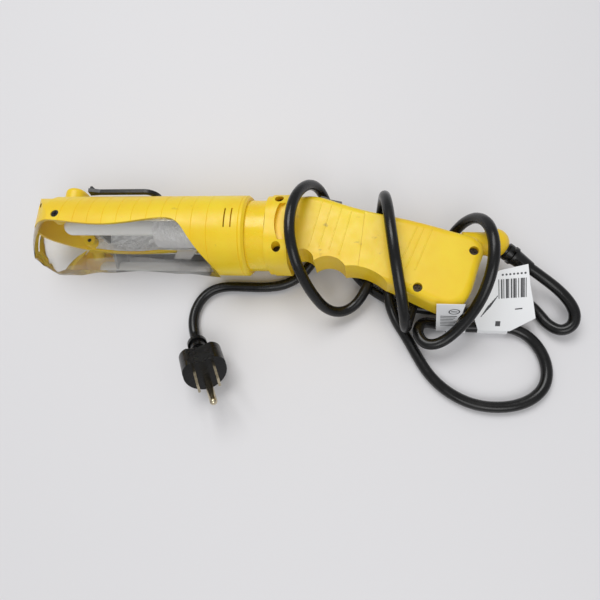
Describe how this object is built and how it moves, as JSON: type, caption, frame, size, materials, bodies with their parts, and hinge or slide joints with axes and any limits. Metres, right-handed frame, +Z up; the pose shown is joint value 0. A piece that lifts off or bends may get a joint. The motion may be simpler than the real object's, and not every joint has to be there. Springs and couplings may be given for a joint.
{
  "type": "work light",
  "caption": "Corded hand-held fluorescent work light with a yellow half-shell head, clear lens, fold-out hook, grooved grip, and a black cord wound round the grip to a three-pin plug.",
  "frame": {"origin": "on the bench, under the centre of the light's own bounding box, cord and plug left out", "axes": "+X from the head's tip to the grip along the head's axis, +Y towards the hook on the back, +Z up from the bench"},
  "size_m": [0.3681, 0.1529, 0.0603],
  "materials": {
    "yellow_shell": "moulded, semi-gloss, scuffed",
    "clear_lens": "clear, glossy",
    "yellow_neck": "smooth, glossy",
    "white_glass": "phosphor-coated, milky",
    "white_base": "satin",
    "grey_socket": "satin",
    "reflector_foil": "bright, crinkled",
    "black_plastic": "satin",
    "black_rubber": "semi-gloss",
    "screw_steel": "dark zinc",
    "pin_steel": "plain",
    "plug_brass": "worn nickel over brass",
    "core_steel": "varnished laminations",
    "winding_copper": "enamelled",
    "lead_insulation": "plain",
    "label_white": "printed, laminated"
  },
  "bodies": {
    "grip": {"handle_shell_upper": "yellow_shell", "handle_shell_lower": "yellow_shell", "handle_screws": "screw_steel", "strain_relief": "black_rubber", "ballast_core": "core_steel", "ballast_winding": "winding_copper", "ballast_leads": "lead_insulation", "cord_clamp": "grey_socket", "switch_housing": "black_plastic", "power_cord": "black_rubber", "plug_body": "black_rubber", "plug_blades": "plug_brass", "plug_ground_pin": "plug_brass", "small_flag_label": "label_white", "large_flag_label": "label_white"},
    "head": {"head_back_shell": "yellow_shell", "clear_lens": "clear_lens", "neck_tube": "yellow_neck", "lamp_glass": "white_glass", "lamp_base": "white_base", "lamp_pins": "plug_brass", "lamp_socket": "grey_socket", "lamp_leads": "lead_insulation", "reflector": "reflector_foil", "lamp_support": "grey_socket", "tip_screw": "screw_steel", "side_screws": "black_plastic", "hook_pin": "pin_steel"},
    "hook": {"hook": "black_plastic"},
    "switch": {"switch_rocker": "black_plastic"}
  },
  "joints": [
    {"name": "head_swivel", "type": "hinge", "parent": "grip", "child": "head", "pos_m": [-0.00115, 0.00767, 0.027], "axis": [1, 0, 0], "range_deg": [-90, 90]},
    {"name": "hook_fold", "type": "hinge", "parent": "head", "child": "hook", "pos_m": [-0.14715, 0.03747, 0.02], "axis": [0, 0, 1], "range_deg": [0, 180]},
    {"name": "switch_rock", "type": "hinge", "parent": "grip", "child": "switch", "pos_m": [0.03975, 0.02167, 0.027], "axis": [0, 0, 1], "range_deg": [-6, 6]}
  ]
}
